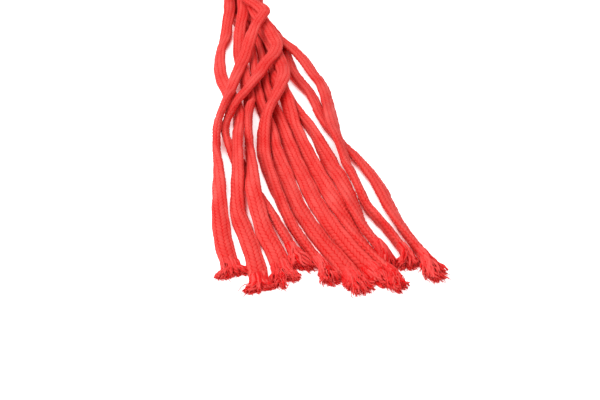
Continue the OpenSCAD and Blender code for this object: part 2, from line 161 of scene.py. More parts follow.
def follow(route, y):
    """x and roll of a route at each y, on a smooth curve through its points."""
    ky, kx, kr = np.array(route).T
    chord = np.diff(kx) / np.diff(ky)
    gap = -np.diff(ky)
    inner = (chord[:-1] * gap[1:] + chord[1:] * gap[:-1]) / (gap[1:] + gap[:-1])
    lean = np.concatenate([chord[:1], inner, chord[-1:]])
    i = np.clip(np.searchsorted(-ky, -y, side="right") - 1, 0, len(ky) - 2)
    h = ky[i + 1] - ky[i]
    t = np.minimum((y - ky[i]) / h, 1)
    x = (kx[i] * (2 * t**3 - 3 * t**2 + 1) + lean[i] * h * (t**3 - 2 * t**2 + t)
         + kx[i + 1] * (3 * t**2 - 2 * t**3) + lean[i + 1] * h * (t**3 - t**2))
    x += lean[-1] * np.minimum(y - ky[-1], 0)
    return x, np.radians(kr[i] + (kr[i + 1] - kr[i]) * t)


def reach(roll, wide, t):
    """How far a sliced cord reaches from its middle in direction t."""
    c, s = np.cos(t) * wide, np.sin(t)
    return np.hypot(CORD_WIDTH / 2 * (c * np.cos(roll) + s * np.sin(roll)),
                    CORD_THICKNESS / 2 * (s * np.cos(roll) - c * np.sin(roll)))


def settle():
    """Heights of the cords' middles over the table, at every slice."""
    touch = np.radians(TOUCH_ANGLES)[:, None]
    lifted = smooth((slice_y - RISE_FROM_Y) / (RISE_TO_Y - RISE_FROM_Y))
    table = -REST_FLAT + (NECK_LIFT + REST_FLAT) * lifted
    x, roll = (np.array(v) for v in zip(*(follow(route, slice_y) for route in ROUTES)))
    wide = np.hypot(1, np.gradient(x, -STEP, axis=1))
    floor = table + reach(roll, wide, np.pi / 2)
    near_head = slice_y > ORDER_CHANGE_Y
    rise = {}
    for k in range(count):
        for j in range(count):
            under = np.where(near_head, HEAD_ORDER.index(j + 1) < HEAD_ORDER.index(k + 1),
                             TAIL_ORDER.index(j + 1) < TAIL_ORDER.index(k + 1))
            under &= slice_y > max(tip_y[j], tip_y[k]) - FRAY_LENGTH
            under &= np.abs(x[k] - x[j]) < 2 * CORD_WIDTH
            if under.any():
                over = (reach(roll[k], wide[k], touch) + reach(roll[j], wide[j], touch) + LAY_GAP
                        - (x[k] - x[j]) * np.cos(touch)) / np.sin(touch)
                rise[k, j] = np.where(under, over.min(axis=0), -1)
    slices = len(slice_y)
    bend = np.arange(-HUMP_SLICES, HUMP_SLICES + 1)
    z = floor.copy()
    for _ in range(count):
        carried = floor.copy()
        for (k, j), over in rise.items():
            carried[k] = np.maximum(carried[k], z[j] + over)
        padded = np.pad(carried, ((0, 0), (HUMP_SLICES, HUMP_SLICES)), mode="edge")
        humps = [padded[:, HUMP_SLICES + b:HUMP_SLICES + b + slices] - (b * STEP) ** 2 / (2 * HUMP_RADIUS)
                 for b in bend]
        z = np.max(humps, axis=0)
    ease = np.exp(-np.linspace(-2, 2, 2 * EASE_SLICES + 1) ** 2)
    padded = np.pad(z, ((0, 0), (EASE_SLICES, EASE_SLICES)), mode="edge")
    z = np.array([np.convolve(row, ease / ease.sum(), mode="valid") for row in padded])
    return x, z, roll


class Line:
    """The middle of a laid cord, with the directions of its width (side) and thickness (up), by length."""

    def __init__(self, points, side, start, end):
        self.points = points
        step = np.linalg.norm(np.diff(points, axis=0), axis=1)
        at = np.concatenate([[0], np.cumsum(step)])
        self.at = at - at[start]
        self.length = self.at[end]
        self.along = np.gradient(points, at, axis=0)
        self.along /= np.linalg.norm(self.along, axis=1, keepdims=True)
        side = side - self.along * np.sum(side * self.along, axis=1, keepdims=True)
        self.side = side / np.linalg.norm(side, axis=1, keepdims=True)
        self.up = np.cross(self.along, self.side)

    def read(self, values, at):
        """What values, given for each point, are at these lengths along the cord."""
        return np.stack([np.interp(at, self.at, values[:, a]) for a in range(3)], axis=-1)


def lay_cords():
    """The laid cords, each from its trimmed butt to the end of its sleeve."""
    x, z, roll = settle()
    laid = []
    for k in range(count):
        points = np.stack([x[k], slice_y, z[k]], axis=1) + ROUTE_ORIGIN
        lean = np.gradient(x[k], slice_y)
        flat = np.stack([np.ones_like(lean), -lean, np.zeros_like(lean)], axis=1)
        flat /= np.linalg.norm(flat, axis=1, keepdims=True)
        side = flat * np.cos(roll[k])[:, None] + np.array([0, 0, 1.0]) * np.sin(roll[k])[:, None]
        start = np.argmin(np.abs(slice_y - butt_y[k]))
        end = np.argmin(np.abs(slice_y - tip_y[k]))
        laid.append(Line(points, side, start, end))
    return laid


cords = lay_cords()

# Braided sheaths. Each cord's sleeve is braided from sixteen strands of red cotton, two over and
# two under, so that its stitches stand in eight columns that slant left and right by turns.
# Towards the cut tip the braid loosens and the sleeve widens, and its hem draws in under the loose strands.
COLUMNS = 8
STITCH = 0.0023
SLANT = 0.9 * STITCH
SHEATH_WALL = 0.0009
# Rows of mesh in a stitch, and lanes of mesh in a column
ROWS = 5
LANES = 5
# Height of a stitch, and how far this differs from one to the next. A share of it is sunk into the sleeve.
# Round the sleeve's narrow sides the strands are pulled tighter, and stand out less
STITCH_RELIEF = 0.00026
UNEVEN = 0.4
TALLEST = 1.4
SUNK = 0.6
SIDE_RELIEF = 0.5
# A power under 1 makes full crowns. Every second seam between columns is filled up to a share of them
CROWN_POWER = 0.8
SEAM_HEIGHT = 0.3
# Depths at which two more rings turn an end of the sleeve in
TURNED_IN = (0.004, 0.0004)
# Two slow swellings of the cord, each with its share of the cord's size and the length of one radian
SWELLS = ((0.025, 0.0059), (0.03, 0.0023))
LOOSE_LENGTH = 0.045
LOOSE_WIDTH = 0.09
LOOSE_THICKNESS = 0.03
HEM_LENGTH = 0.007
HEM_DRAWN = 0.06
FRAYED_BACK = 0.002
# On the maps the rings of a turned-in end lie past its edge by these parts of a stitch, and the middle
# of the fan that closes it lies further out
TURNED_PLACES = (0.4, 0.1)
FAN_LENGTH = 0.4
# The bake's map lays the sleeve out in strips, as wide as the way round it,
# with margins and with room for the fan
SLEEVE_OUTLINE = 0.0168
BAKE_STRIPS = 4
STRIP_MARGIN = 1.05
LENGTH_MARGIN = 1.03
STRIP_START = 0.45
# The cotton's tone runs between these two reds; it holds its own random variation and the painted light and
# shade of the stitches
DEEP_RED = (0.74, 0.001, 0.001, 1)
BRIGHT_RED = (0.92, 0.112, 0.096, 1)
rng = np.random.default_rng(11)


def oval(columns, flatness):
    """Angles that part an oval's outline into equal lanes."""
    fine = np.linspace(0, 2 * np.pi, 4001)
    steps = np.hypot(np.diff(np.cos(fine)), np.diff(np.sin(fine)) * flatness)
    run = np.concatenate([[0], np.cumsum(steps)])
    return np.interp(np.arange(columns * LANES) / (columns * LANES), run / run[-1], fine)


def on_table(points, soft=0.0003):
    """Presses what would lie under the table flat against it."""
    z = points[..., 2]
    points[..., 2] = np.where(z < soft, soft * np.exp(np.minimum(z - soft, 0) / soft), z)
    return points


def section(line, at, half_w, half_t, angle, out):
    """Points round a line: an oval of half_w by half_t, with out added square to its surface."""
    c, s = np.cos(angle), np.sin(angle)
    n = np.hypot(c / half_w, s / half_t)
    u = half_w * c + out * c / half_w / n
    v = half_t * s + out * s / half_t / n
    middle = line.read(line.points, at)
    return middle + line.read(line.side, at) * u[..., None] + line.read(line.up, at) * v[..., None]


def sleeve(line, length, half_w, half_t, columns, stitch, relief, wall):
    """Rings of a braided sleeve, with its ends turned in, and their places in the braid."""
    rows = int(round(length / stitch)) * ROWS
    lane = np.arange(columns * LANES) / LANES
    column = np.floor(lane).astype(int)
    row = np.arange(rows + 1)
    slant = SLANT / STITCH * stitch * (np.abs(lane % 2 - 1) - 0.5)
    at = row[:, None] / rows * length + slant
    across = np.sin(np.pi * (lane % 1)) ** CROWN_POWER
    across = np.where(lane % 1 == 0, np.where(column % 2 == 0, 0.0, SEAM_HEIGHT), across)
    along = np.sin(np.pi * ((row[:, None] / ROWS + 0.5 * (column % 2)) % 1)) ** CROWN_POWER
    uneven = 1 + UNEVEN * rng.standard_normal((rows // ROWS + 2, columns))
    size = uneven[(row[:, None] // ROWS + (column % 2)), column[None, :]]
    angle = oval(columns, half_t(0) / half_w(0))
    angle = np.broadcast_to(angle, at.shape)
    relief = relief * (SIDE_RELIEF + (1 - SIDE_RELIEF) * np.abs(np.sin(angle)))
    out = relief * (np.clip(across * along * size, 0, TALLEST) - SUNK)
    outer = section(line, at, half_w(at), half_t(at), angle, out)
    ends = []
    for end, inward in ((0.0, 1), (length, -1)):
        for depth in TURNED_IN:
            spot = np.full(len(lane), end + inward * depth) + slant * (depth == TURNED_IN[-1])
            ends.append(section(line, spot, half_w(spot) - wall, half_t(spot) - wall, angle[0], 0.0 * lane))
    rings = np.concatenate([[ends[0], ends[1]], outer, [ends[3], ends[2]]])
    past = np.array(TURNED_PLACES)
    place = np.concatenate([-past, row / ROWS, rows / ROWS + past[::-1]])
    return rings, place


def tube_points(rings):
    """The points of a tube's rings, and then the middles of both ends."""
    return np.concatenate([rings.reshape(-1, 3), [rings[0].mean(axis=0), rings[-1].mean(axis=0)]])


def tube_faces(rings, around):
    """Quads between neighbouring rings, and fans over both ends."""
    r, i = np.meshgrid(np.arange(rings - 1), np.arange(around), indexing="ij")
    j = (i + 1) % around
    near, far = r * around, (r + 1) * around
    quads = np.stack([near + i, near + j, far + j, far + i], axis=-1).reshape(-1, 4)
    i = np.arange(around)
    j = (i + 1) % around
    first, last = rings * around, rings * around + 1
    end = (rings - 1) * around
    fans = np.concatenate([np.stack([np.full(around, first), j, i], axis=1),
                           np.stack([np.full(around, last), end + i, end + j], axis=1)])
    return [quads, fans]


def tube_maps(place, around, columns, width, stitch):
    """The braid's own map (column, stitch), and the map that a bake fills, in strips side by side."""
    rings = len(place)
    r, i = np.meshgrid(np.arange(rings - 1), np.arange(around), indexing="ij")
    r, i = r.ravel(), i.ravel()
    u = np.stack([i, i + 1, i + 1, i], axis=1) / around
    near, far = place[r], place[r + 1]
    v = np.stack([near, near, far, far], axis=1)
    per_strip = -(-(rings - 1) // BAKE_STRIPS)
    strip = r // per_strip
    longest = (place[per_strip] - place[0]) * stitch * LENGTH_MARGIN
    pitch = width * STRIP_MARGIN
    scale = 1 / max(pitch * BAKE_STRIPS, longest)
    fan = np.arange(around)
    fan_u = np.concatenate([np.stack([fan + 0.5, fan + 1, fan], axis=1),
                            np.stack([fan + 0.5, fan, fan + 1], axis=1)]) / around
    first, last = place[0], place[-1]
    fan_v = np.repeat([[first - FAN_LENGTH, first, first], [last + FAN_LENGTH, last, last]], around, axis=0)
    fan_strip = np.repeat([0, BAKE_STRIPS - 1], around)

    def in_strips(u, v, which):
        across = (u * width + (which * pitch)[:, None]) * scale
        along = (v - place[which * per_strip][:, None] + STRIP_START) * stitch * scale
        return np.stack([across, along], axis=-1).reshape(-1, 2)

    braid = np.concatenate([np.stack([u * columns, v], axis=-1).reshape(-1, 2),
                            np.stack([fan_u * columns, fan_v], axis=-1).reshape(-1, 2)])
    bake = np.concatenate([in_strips(u, v, strip), in_strips(fan_u, fan_v, fan_strip)])
    return {"OFBake": bake, "Braid": braid}


def make_piece(name, points, faces, maps, material):
    """A smooth mesh piece from arrays, which rides on the bundle."""
    mesh = bpy.data.meshes.new(name)
    corners = np.concatenate([f.ravel() for f in faces])
    sizes = np.concatenate([np.full(len(f), f.shape[1]) for f in faces])
    mesh.vertices.add(len(points))
    mesh.vertices.foreach_set("co", points.ravel())
    mesh.loops.add(len(corners))
    mesh.loops.foreach_set("vertex_index", corners)
    mesh.polygons.add(len(sizes))
    mesh.polygons.foreach_set("loop_start", np.concatenate([[0], np.cumsum(sizes)[:-1]]))
    mesh.polygons.foreach_set("use_smooth", np.ones(len(sizes), dtype=bool))
    for map_name, places in maps.items():
        mesh.uv_layers.new(name=map_name).uv.foreach_set("vector", places.ravel())
    mesh.update(calc_edges=True)
    mesh.validate()
    mesh.materials.append(material)
    piece = bpy.data.objects.new(name, mesh)
    bpy.context.collection.objects.link(piece)
    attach(piece, "root")
    return piece


class Dye:
    """A value in a material's nodes: sums on it add Math nodes, and node() adds any other node."""

    def __init__(self, tree, socket=None):
        self.tree = tree
        self.socket = socket

    def node(self, kind, settings=(), sockets=(), output=0):
        made = self.tree.nodes.new("ShaderNode" + kind)
        for name, value in dict(settings).items():
            setattr(made, name, value)
        for name, value in dict(sockets).items():
            if isinstance(value, Dye):
                self.tree.links.new(value.socket, made.inputs[name])
            else:
                made.inputs[name].default_value = value
        return Dye(self.tree, made.outputs[output] if made.outputs else None)

    def math(self, operation, *terms):
        return self.node("Math", {"operation": operation}, enumerate(terms))

    def mix(self, low, high):
        return self.node("Mix", {"data_type": "RGBA"}, {0: self, 6: low, 7: high}, 2)

    def __add__(self, other):
        return self.math("ADD", self, other)

    def __sub__(self, other):
        return self.math("SUBTRACT", self, other)

    def __rsub__(self, other):
        return self.math("SUBTRACT", other, self)

    def __mul__(self, other):
        return self.math("MULTIPLY", self, other)

    def __pow__(self, other):
        return self.math("POWER", self, other)

    __radd__ = __add__
    __rmul__ = __mul__


def new_material(name):
    """A material with no nodes yet, and the Dye that adds them."""
    material = bpy.data.materials.new(name)
    material.use_nodes = True
    material.node_tree.nodes.clear()
    return material, Dye(material.node_tree)


def braided_cotton():
    """Red cotton in stitches, with painted light and shade: a painted highlight on their crowns, and
    painted shade at many of their corners.
    """
    material, dye = new_material("braided_cotton")
    # Which column a place is in, and how far it lies across this and along a stitch
    place = dye.node("UVMap", {"uv_map": "Braid"})
    column = dye.node("SeparateXYZ", sockets={0: place})
    row = Dye(dye.tree, column.socket.node.outputs[1])
    index = column.math("FLOOR", column)
    lane = column - index
    odd = index.math("MODULO", index, 2.0)
    turn = row + odd * 0.5
    stitch = turn - turn.math("FLOOR", turn)
    crown = (lane * (1 - lane) * 4) * (stitch * (1 - stitch) * 4)
    crown = crown.math("MAXIMUM", crown, 0.0) ** 0.45
    # Fine threads in each stitch, soft patches, fuzz, and columns that are lighter or darker for a stretch
    yarn = dye.node("CombineXYZ", sockets={0: column * 1.3, 1: row * 13, 2: index * 7.3})
    threads = dye.node("TexNoise", sockets={"Vector": yarn, "Scale": 1.0, "Detail": 3.0})
    where = dye.node("TexCoord", output="Object")
    patches = dye.node("TexNoise", sockets={"Vector": where, "Scale": 70.0, "Detail": 2.0})
    fuzz = dye.node("TexNoise", sockets={"Vector": where, "Scale": 2600.0, "Detail": 2.0})
    strand = dye.node("CombineXYZ", sockets={0: index * 5.1, 1: row * 0.16})
    streaks = dye.node("TexNoise", sockets={"Vector": strand, "Scale": 1.0, "Detail": 1.0})
    # Painted shade: dark ticks in the corners of stitches, where the strands dive under, stronger in some
    # stretches than in others
    edge = (1 - lane * (1 - lane) * 4) ** 2
    spot = dye.node("CombineXYZ", sockets={0: index * 3.7, 1: row * 0.7, 2: 4.0})
    tick_shade_strength = dye.node("TexNoise", sockets={"Vector": spot, "Scale": 1.0, "Detail": 2.0})
    painted_corner_shade = edge * (1 - stitch * (1 - stitch) * 4) * (tick_shade_strength * 3.6 - 0.9)
    # The crown term paints the stitch crowns brighter and the gaps between them darker, and the corner
    # shade darkens the seams; threads, patches and streaks are the cotton's own random tone
    tone = crown * 0.22 + threads * 0.55 + patches * 0.8 + streaks * 0.95 - painted_corner_shade * 1.5 - 0.68
    colour = tone.mix(DEEP_RED, BRIGHT_RED)
    height = crown * 0.5 + threads * 0.5 + fuzz * 0.3
    bump = dye.node("Bump", sockets={"Strength": 0.7, "Distance": 0.0004, "Height": height})
    cotton = dye.node("BsdfPrincipled", sockets={
        "Base Color": colour, "Roughness": 0.6, "Specular IOR Level": 0.1, "Normal": bump,
        "Sheen Weight": 0.04, "Sheen Roughness": 0.45, "Sheen Tint": (1.0, 0.4, 0.38, 1)})
    dye.node("OutputMaterial", sockets={"Surface": cotton})
    return material


sheath_cotton = braided_cotton()
sheaths = []
for number, line in enumerate(cords, 1):
    swell = rng.uniform(0, 2 * np.pi, 2)
    hem = line.length - FRAYED_BACK

    def body(at, loose, hem=hem, swell=swell):
        wave = sum(share * np.sin(at / length + shift) for (share, length), shift in zip(SWELLS, swell))
        return (1 + wave + loose * smooth((at - hem + LOOSE_LENGTH) / LOOSE_LENGTH)
                - HEM_DRAWN * smooth((at - hem + HEM_LENGTH) / HEM_LENGTH))

    def half_width(at, body=body):
        return CORD_WIDTH / 2 * body(np.asarray(at), LOOSE_WIDTH)

    def half_thickness(at, body=body):
        return CORD_THICKNESS / 2 * body(np.asarray(at), LOOSE_THICKNESS)

    rings, place = sleeve(line, hem, half_width, half_thickness, COLUMNS, STITCH,
                          STITCH_RELIEF, SHEATH_WALL)
    rings = on_table(rings)
    around = rings.shape[1]
    maps = tube_maps(place, around, COLUMNS, SLEEVE_OUTLINE, STITCH)
    piece = make_piece(f"braided_sheath_{number:02d}", tube_points(rings), tube_faces(len(rings), around),
                       maps, sheath_cotton)
    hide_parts(f"sheath_{number:02d}")
    sheaths.append(piece)

# Core yarn and frayed tips. Loose filler yarn fills each sleeve. Over the last millimetres the braid's
# own strands come undone as well, and all of it runs out as a soft brush, in lobes that head
# their own ways over the table. At the head both are cut flush.
PLY_RADIUS = 0.00046
FIBRE_RADIUS = 0.00016
YARN_UNEVEN = (0.75, 1.25)
YARN_SIDES = 6
YARN_POINTS = 14
PLIES = 84
FIBRES = 110
STRAY_STRANDS = 2
# Shares of its lobe's reach at which a strand may end, and how far it sways
PLY_ENDS = (0.74, 1.02)
PLY_SWAY = 0.0004
FIBRE_ENDS = (0.75, 1.1)
FIBRE_SWAY = 0.0006
STRAY_ENDS = (0.96, 1.0)
STRAY_SWAY = 0.0002
SWAY_LENGTHS = (0.0007, 0.0014)
SWAY_GROWTH = 0.003
# Share of the strands that lie round the cord's skin, and how far out these are.
# The others are spread over this share of the area inside
SKIN_SHARE = 0.6
SKIN_DEPTH = (0.9, 1.04)
INNER_AREA = 0.8
# Strands are undone over lengths between these two, and start out tucked in by a share of their distance
LEAST_UNDONE = 0.0015
UNDONE = 0.005
TUCKED = 0.22
TUCK_LENGTH = 0.0015
# Outside, a strand turns to its lobe's heading, comes to a height over the table
# and draws in with the others
LOBE_SPREAD = 6
TURN_LENGTH = 0.004
LIE_HEIGHT = 0.0013
DRAWN_IN = 0.35
TABLE_CLEARANCE = 0.00005
# Yarn ends that stand out of a flush cut
BUTT_STRANDS = 90
CUT_REACH = (0.0004, 0.0012)
CUT_LEAN = 0.25
CORE_SIDES = 12
CORE_STEP = 0.003
CORE_INSET = 0.0005
CORE_CLEARANCE = 0.0001
CORE_TONE = 0.5
# The bake's map has a cell for each strand, with a margin round it, and a strip beside them for the core
CELLS_WIDTH = 0.92
CELL_MARGIN = 0.05
CELL_FILLED = 0.9
CORE_STRIP_SIZE = (0.06, 0.9)
CORE_STRIP_PLACE = (0.93, 0.05)
YARN_DEEP = (0.78, 0.001, 0.002, 1)
YARN_BRIGHT = (0.93, 0.108, 0.098, 1)
PATH_STEP = 0.002
# Each tip's lobes, from its left to its right: the way that one heads over the table,
# in degrees to the right of the viewer, how far it reaches, and how far it swirls on the way
LOBES = [
    [(-50, 0.0072, 30), (-24, 0.0064, 10), (0, 0.0060, 0),
     (30, 0.0056, 10), (58, 0.0062, 10), (84, 0.0072, 10)],
    [(-64, 0.0066, 20), (-34, 0.0062, 0), (-12, 0.0056, 10),
     (42, 0.0044, 10), (56, 0.0048, 0), (76, 0.0050, -20)],
    [(-40, 0.0068, 30), (-14, 0.0092, 10), (4, 0.0106, 0),
     (44, 0.0074, -10), (56, 0.0078, -20), (74, 0.0064, -20)],
    [(-10, 0.0076, 40), (10, 0.0090, 40), (28, 0.0102, 20),
     (42, 0.0108, 0), (56, 0.0106, 0), (76, 0.0092, 0)],
    [(-14, 0.0056, 0), (0, 0.0086, 5), (16, 0.0096, 0),
     (34, 0.0096, 0), (58, 0.0076, -10), (80, 0.0058, 0)],
    [(-50, 0.0042, 0), (-20, 0.0064, 10), (10, 0.0100, 0),
     (26, 0.0102, 0), (42, 0.0098, 0), (60, 0.0080, 0)],
    [(20, 0.0024, 20), (30, 0.0038, 10), (34, 0.0070, 0), (40, 0.0092, 20), (56, 0.0080, -60)],
    [(-16, 0.0082, 30), (2, 0.0094, 20), (20, 0.0080, 30), (46, 0.0058, -30), (70, 0.0046, -90)],
    [(-4, 0.0054, 20), (20, 0.0074, 0), (42, 0.0074, 10), (60, 0.0060, 0)],
    [(-54, 0.0062, 0), (-28, 0.0076, 0), (-2, 0.0070, 0),
     (18, 0.0068, 0), (38, 0.0058, 0), (60, 0.0046, 0)],
    [(-6, 0.0080, 0), (4, 0.0110, 0), (16, 0.0120, 0),
     (30, 0.0118, 0), (42, 0.0100, 0), (52, 0.0066, 0)],
]
# Single threads that have come away from cords 1 and 2
STRAYS = {1: [(-66, 0.0095, 150), (66, 0.013, 0)], 2: [(-84, 0.0095, 60), (-70, 0.0105, 40)]}


def yarn_tubes(lines, radius):
    """Closed tubes along lines of yarn (strand, point, xyz)."""
    along = np.gradient(lines, axis=1)
    along /= np.linalg.norm(along, axis=2, keepdims=True) + 1e-12
    # Each ring is squared to its strand by a slanting direction, which hardly any strand follows
    side = np.cross(along, np.array([0.31, 0.17, 0.93]))
    side /= np.linalg.norm(side, axis=2, keepdims=True) + 1e-12
    up = np.cross(along, side)
    turn = 2 * np.pi * np.arange(YARN_SIDES) / YARN_SIDES
    ring = side[:, :, None] * np.cos(turn)[:, None] + up[:, :, None] * np.sin(turn)[:, None]
    points = lines[:, :, None] + ring * radius[:, :, None, None]
    strands, per, around = points.shape[:3]
    s, p, i = np.meshgrid(np.arange(strands), np.arange(per - 1), np.arange(around), indexing="ij")
    j = (i + 1) % around
    at = (s * per + p) * around
    quads = np.stack([at + i, at + j, at + around + j, at + around + i], axis=-1).reshape(-1, 4)
    lids = np.arange(strands)[:, None] * per * around + np.arange(around)
    caps = np.concatenate([lids[:, ::-1], lids + (per - 1) * around])
    return points.reshape(-1, 3), [quads, caps]


def yarn_maps(strands, tones):
    """The yarn's own map (tone of the strand, place along it), and a map of small cells for a bake."""
    per, around = YARN_POINTS, YARN_SIDES
    wide = int(np.ceil(np.sqrt(strands)))
    grid = np.meshgrid(np.arange(strands), np.arange(per - 1), np.arange(around), indexing="ij")
    s, p, i = (v.ravel() for v in grid)
    u = np.stack([i, i + 1, i + 1, i], axis=1) / around
    v = np.stack([p, p, p + 1, p + 1], axis=1) / (per - 1)
    cap = np.tile(np.arange(around), (2 * strands, 1)) / around
    cap_v = np.repeat([0.0, 1.0], strands)[:, None] + 0 * cap
    cap_s = np.tile(np.arange(strands), 2)
    own = np.concatenate([np.stack([tones[s][:, None] + 0 * u, v], axis=-1).reshape(-1, 2),
                          np.stack([tones[cap_s][:, None] + 0 * cap, cap_v], axis=-1).reshape(-1, 2)])

    def in_cells(strand, u, v):
        across = ((strand % wide)[:, None] + CELL_MARGIN + CELL_FILLED * u) / wide
        along = ((strand // wide)[:, None] + CELL_MARGIN + CELL_FILLED * v) / wide
        return np.stack([across, along], axis=-1).reshape(-1, 2)

    cells = np.concatenate([in_cells(s, u, v), in_cells(cap_s, cap, cap_v)])
    return {"OFBake": cells * [CELLS_WIDTH, 1.0], "Yarn": own}


def filler(line, end):
    """The yarn inside a sleeve, as one plain oval rope."""
    at = np.linspace(CORE_INSET, end, int(end / CORE_STEP))[:, None] + np.zeros(CORE_SIDES)
    angle = 2 * np.pi * np.arange(CORE_SIDES) / CORE_SIDES + 0 * at
    inside = SHEATH_WALL + CORE_CLEARANCE
    half_w = CORD_WIDTH / 2 - inside + 0 * at
    half_t = CORD_THICKNESS / 2 - inside + 0 * at
    rings = section(line, at, half_w, half_t, angle, 0 * at)
    rings[..., 2] = np.maximum(rings[..., 2], inside)
    place = np.arange(len(rings)) / (len(rings) - 1)
    lengthwise = tube_maps(place, CORE_SIDES, 1, 1.0, 1.0)["Braid"]
    return tube_points(rings), tube_faces(len(rings), CORE_SIDES), {
        "OFBake": lengthwise * CORE_STRIP_SIZE + CORE_STRIP_PLACE,
        "Yarn": lengthwise * [0, 0.4] + [CORE_TONE, 0.2]}


def frayed_yarn():
    """The same red cotton as loose yarn, each strand with a tone of its own."""
    material, dye = new_material("frayed_yarn")
    place = dye.node("UVMap", {"uv_map": "Yarn"})
    tone = dye.node("SeparateXYZ", sockets={0: place})
    where = dye.node("TexCoord", output="Object")
    fibres = dye.node("TexNoise", sockets={"Vector": where, "Scale": 1500.0, "Detail": 2.0})
    shade = tone + fibres * 1.1 - 0.55
    colour = shade.mix(YARN_DEEP, YARN_BRIGHT)
    bump = dye.node("Bump", sockets={"Strength": 0.5, "Distance": 0.0002, "Height": fibres})
    cotton = dye.node("BsdfPrincipled", sockets={
        "Base Color": colour, "Roughness": 0.7, "Specular IOR Level": 0.12, "Normal": bump,
        "Sheen Weight": 0.06, "Sheen Roughness": 0.5, "Sheen Tint": (1.0, 0.3, 0.28, 1)})
    dye.node("OutputMaterial", sockets={"Surface": cotton})
    return material


def brush(line, at, lobes, strands, ends, wave):
    """Loose strands at a cord's tip. Each leaves the sleeve at its own place, for the lobe on its side."""
    frames = (line.points, line.along, line.side, line.up)
    middle, along, side, up = (line.read(v, np.full(1, at))[0] for v in frames)
    skin = rng.uniform(0, 1, strands) < SKIN_SHARE
    depth = np.where(skin, rng.uniform(*SKIN_DEPTH, strands), np.sqrt(rng.uniform(0, INNER_AREA, strands)))
    around = rng.uniform(0, 2 * np.pi, strands)
    wide = depth * np.cos(around) * CORD_WIDTH / 2
    high = depth * np.sin(around) * CORD_THICKNESS / 2
    cord_heading = np.arctan2(along[0], -along[1])
    across = np.array([np.cos(cord_heading), np.sin(cord_heading), 0])
    rank = np.argsort(np.argsort(wide * (side @ across) + high * (up @ across))) / strands
    heading, reach_out, swirl = np.array(lobes)[(rank * len(lobes)).astype(int)].T[:, :, None]
    heading = heading + rng.normal(0, LOBE_SPREAD, (strands, 1))
    back = rng.uniform(LEAST_UNDONE, UNDONE, (strands, 1))
    run = -back + (back + reach_out * rng.uniform(*ends, (strands, 1))) * np.linspace(0, 1, YARN_POINTS)
    spot = at + np.minimum(run, 0)
    ahead = np.maximum(run, 0)
    angle = (cord_heading + (np.radians(heading) - cord_heading) * smooth(ahead / TURN_LENGTH)
             + np.radians(swirl) * (ahead / reach_out) ** 2)
    step = np.diff(ahead, axis=1) * np.stack([np.sin(angle), -np.cos(angle)])[:, :, 1:]
    plan = np.pad(np.cumsum(step, axis=2), ((0, 0), (0, 0), (1, 0)))
    part = smooth(ahead / reach_out)
    fall = (LIE_HEIGHT - middle[2]) * part
    close = (1 - TUCKED + TUCKED * smooth((run + back) / TUCK_LENGTH)) * (1 - DRAWN_IN * part)
    lines = (line.read(line.points, spot) + line.read(line.side, spot) * (wide[:, None] * close)[..., None]
             + line.read(line.up, spot) * (high[:, None] * close)[..., None])
    lines += np.stack([plan[0], plan[1], fall], axis=2)
    phase = rng.uniform(0, 2 * np.pi, (2, strands, 1))
    sway = wave * np.sin(run / rng.uniform(*SWAY_LENGTHS, (2, strands, 1)) + phase)
    sway = sway * smooth(ahead / SWAY_GROWTH)
    lines += np.stack([sway[0] * np.cos(angle), sway[0] * np.sin(angle), sway[1]], axis=2)
    return lines


def cut_end(line, at, way, half_w, half_t, strands):
    """Short yarn ends that show in a flush cut."""
    spot = np.full(strands, at)
    middle, along, side, up = (line.read(v, spot) for v in (line.points, line.along, line.side, line.up))
    out = np.sqrt(rng.uniform(0, 1, strands))[:, None]
    around = rng.uniform(0, 2 * np.pi, strands)[:, None]
    start = middle + side * out * np.cos(around) * half_w + up * out * np.sin(around) * half_t
    reach_out = rng.uniform(*CUT_REACH, strands)[:, None]
    lean = along * way + CUT_LEAN * rng.standard_normal((strands, 3))
    # Two thirds of each end are still inside
    t = np.linspace(-2, 1, YARN_POINTS)[None, :, None]
    return start[:, None] + lean[:, None] * reach_out[:, None] * t


loose_cotton = frayed_yarn()
# A strand keeps its thickness almost to its end, which is rounded
taper = np.sqrt(1 - np.linspace(0, 0.96, YARN_POINTS) ** 6)
bore_half_w = CORD_WIDTH / 2 - SHEATH_WALL
bore_half_t = CORD_THICKNESS / 2 - SHEATH_WALL
for number, line in enumerate(cords, 1):
    hem = line.length - FRAYED_BACK
    lobes = LOBES[number - 1]
    parts = [brush(line, hem, lobes, PLIES, PLY_ENDS, PLY_SWAY)]
    parts += [brush(line, hem, lobes, FIBRES, FIBRE_ENDS, FIBRE_SWAY)]
    parts += [brush(line, hem, [stray], STRAY_STRANDS, STRAY_ENDS, STRAY_SWAY)
              for stray in STRAYS.get(number, ())]
    parts += [cut_end(line, 0.0, -1, bore_half_w, bore_half_t, BUTT_STRANDS)]
    lines = np.concatenate(parts)
    thick = np.where(np.arange(len(lines)) < PLIES, PLY_RADIUS, FIBRE_RADIUS)
    thick = thick * rng.uniform(*YARN_UNEVEN, len(lines))
    lines[:, :, 2] = np.maximum(lines[:, :, 2], thick[:, None] + TABLE_CLEARANCE)
    points, faces = yarn_tubes(lines, thick[:, None] * taper)
    maps = yarn_maps(len(lines), rng.uniform(0, 1, len(lines)))
    core_points, core_faces, core_maps = filler(line, hem)
    faces += [f + len(points) for f in core_faces]
    maps = {name: np.concatenate([maps[name], core_maps[name]]) for name in maps}
    piece = make_piece(f"core_yarn_{number:02d}", np.concatenate([points, core_points]), faces, maps,
                       loose_cotton)
    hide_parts(f"core_{number:02d}")
    path = line.read(line.points, np.arange(0, line.length, PATH_STEP))
    sheaths[number - 1]

